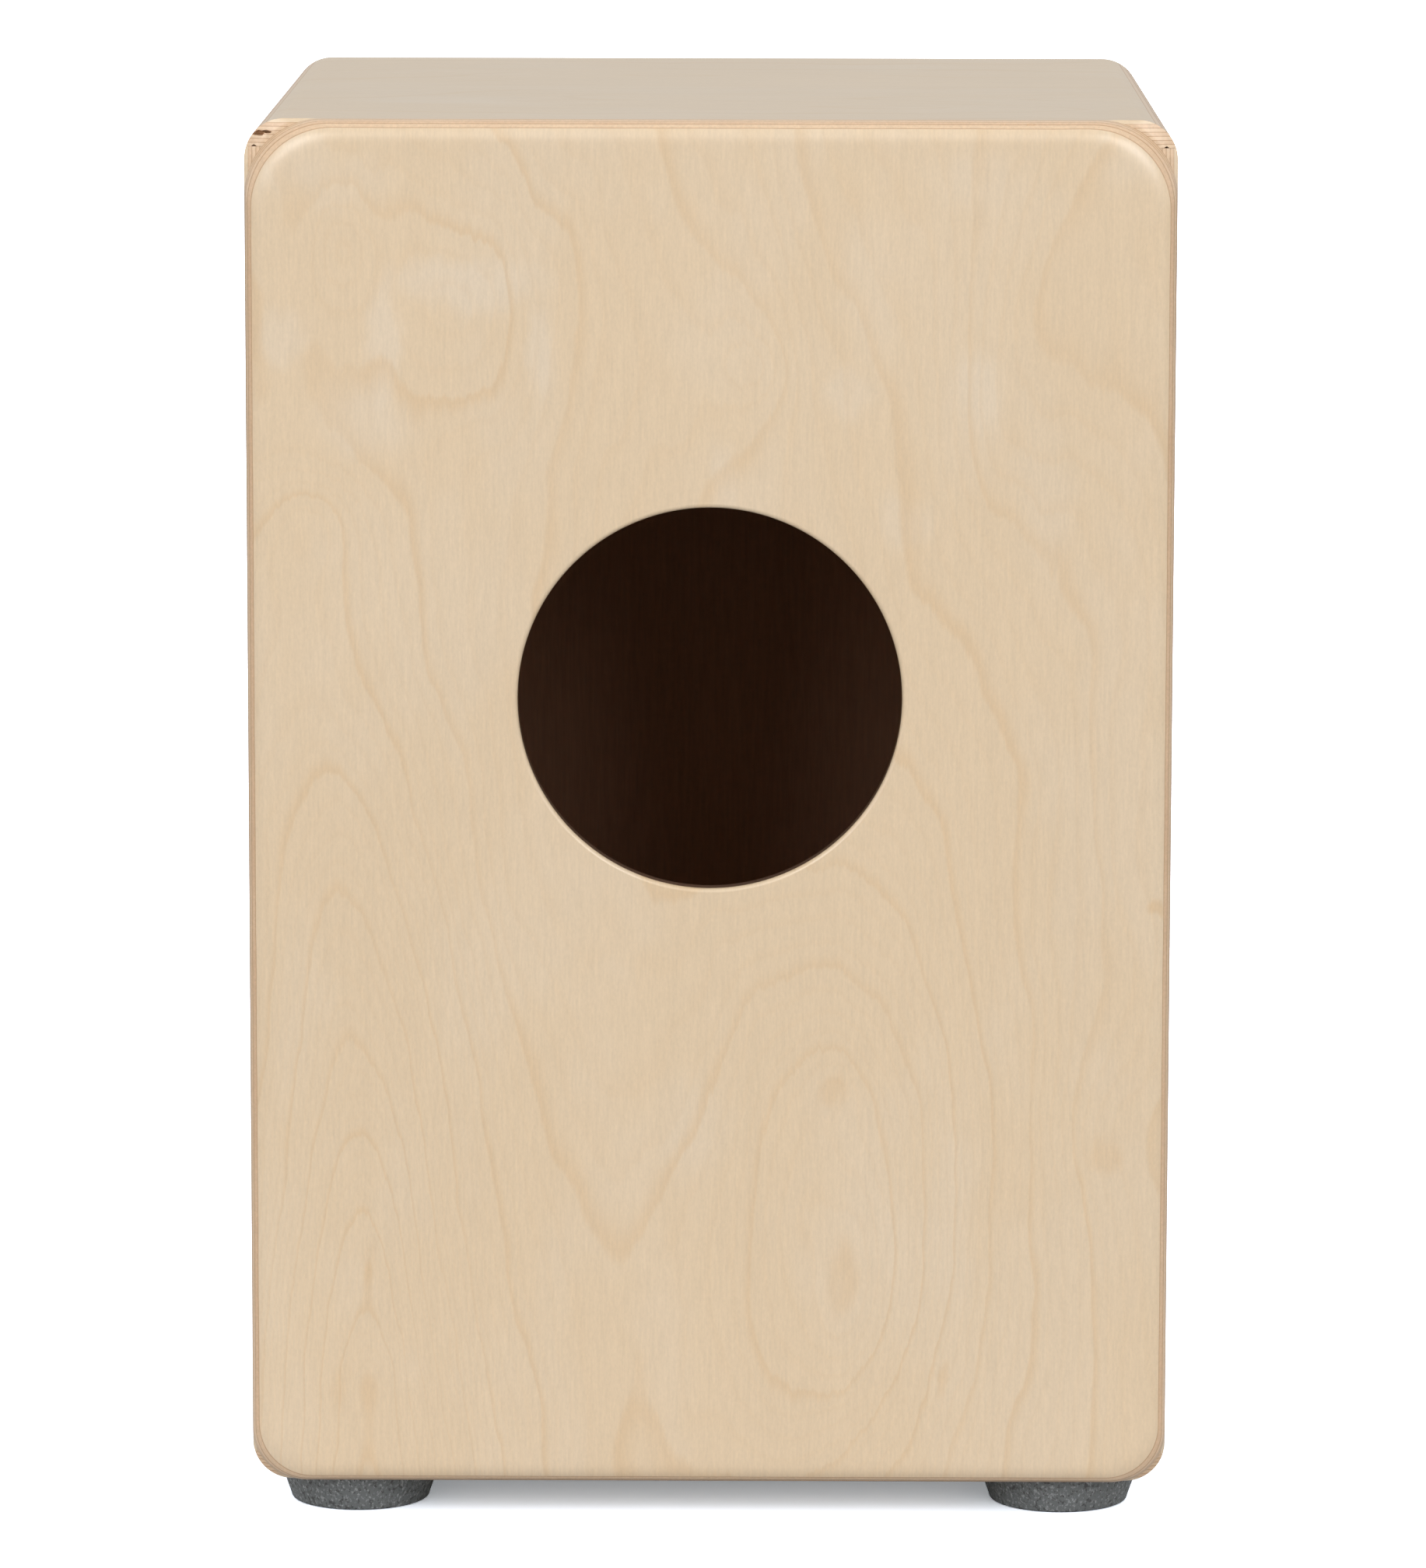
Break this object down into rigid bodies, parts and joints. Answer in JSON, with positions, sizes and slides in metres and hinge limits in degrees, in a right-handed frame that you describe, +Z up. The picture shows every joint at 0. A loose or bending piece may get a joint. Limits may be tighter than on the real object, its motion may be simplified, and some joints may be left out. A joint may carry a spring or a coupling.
{
  "type": "cajon",
  "caption": "Box-shaped plywood hand drum with a round rear sound hole, rubber feet, screwed playing face and an inner snare unit that lifts off.",
  "frame": {"origin": "on the floor, under the middle of the box, in the plane of the undersides of the feet", "axes": "+Z up along the box's height, -Y out of the playing face, +Y out of the sound hole, +X to the right as seen from in front of the playing face"},
  "size_m": [0.3, 0.3, 0.46],
  "materials": {
    "birch_ply": "satin clear lacquer",
    "frame_wood": "raw planed softwood",
    "beech": "oiled",
    "foot_rubber": "matt speckled",
    "zinc_steel": "bright zinc plated",
    "snare_steel": "bright drawn wire",
    "hook_loop": "matt pile"
  },
  "bodies": {
    "shell": {"bottom_panel": "birch_ply", "corner_block_bottom_left": "frame_wood", "corner_block_bottom_right": "frame_wood", "corner_block_top_left": "frame_wood", "corner_block_top_right": "frame_wood", "foot_front_left": "foot_rubber", "foot_front_right": "foot_rubber", "foot_rear_left": "foot_rubber", "foot_rear_right": "foot_rubber", "foot_screw_front_left": "zinc_steel", "foot_screw_front_right": "zinc_steel", "foot_screw_rear_left": "zinc_steel", "foot_screw_rear_right": "zinc_steel", "foot_washer_front_left": "zinc_steel", "foot_washer_front_right": "zinc_steel", "foot_washer_rear_left": "zinc_steel", "foot_washer_rear_right": "zinc_steel", "front_batten_bottom": "frame_wood", "front_batten_left": "frame_wood", "front_batten_right": "frame_wood", "front_batten_top": "frame_wood", "hook_pad_left": "hook_loop", "hook_pad_right": "hook_loop", "rear_batten_bottom": "frame_wood", "rear_batten_left": "frame_wood", "rear_batten_right": "frame_wood", "rear_batten_top": "frame_wood", "rear_panel": "birch_ply", "side_panel_left": "birch_ply", "side_panel_right": "birch_ply", "snare_rest_left": "beech", "snare_rest_right": "beech", "tapa": "birch_ply", "tapa_screw_bottom_left": "zinc_steel", "tapa_screw_bottom_middle": "zinc_steel", "tapa_screw_bottom_right": "zinc_steel", "tapa_screw_left_1": "zinc_steel", "tapa_screw_left_2": "zinc_steel", "tapa_screw_left_3": "zinc_steel", "tapa_screw_left_4": "zinc_steel", "tapa_screw_right_1": "zinc_steel", "tapa_screw_right_2": "zinc_steel", "tapa_screw_right_3": "zinc_steel", "tapa_screw_right_4": "zinc_steel", "tapa_screw_top_left": "zinc_steel", "tapa_screw_top_middle": "zinc_steel", "tapa_screw_top_right": "zinc_steel", "top_panel": "birch_ply"},
    "snare_unit": {"loop_pad_left": "hook_loop", "loop_pad_right": "hook_loop", "snare_crossbar": "beech", "snare_plate_left": "snare_steel", "snare_plate_right": "snare_steel", "snare_screw_left_1": "zinc_steel", "snare_screw_left_2": "zinc_steel", "snare_screw_right_1": "zinc_steel", "snare_screw_right_2": "zinc_steel", "snare_wires_left": "snare_steel", "snare_wires_right": "snare_steel"}
  },
  "joints": [
    {"name": "snare_unit_slide", "type": "slide", "parent": "shell", "child": "snare_unit", "axis": [0, 1, 0], "range_m": [0, 0.1]}
  ]
}
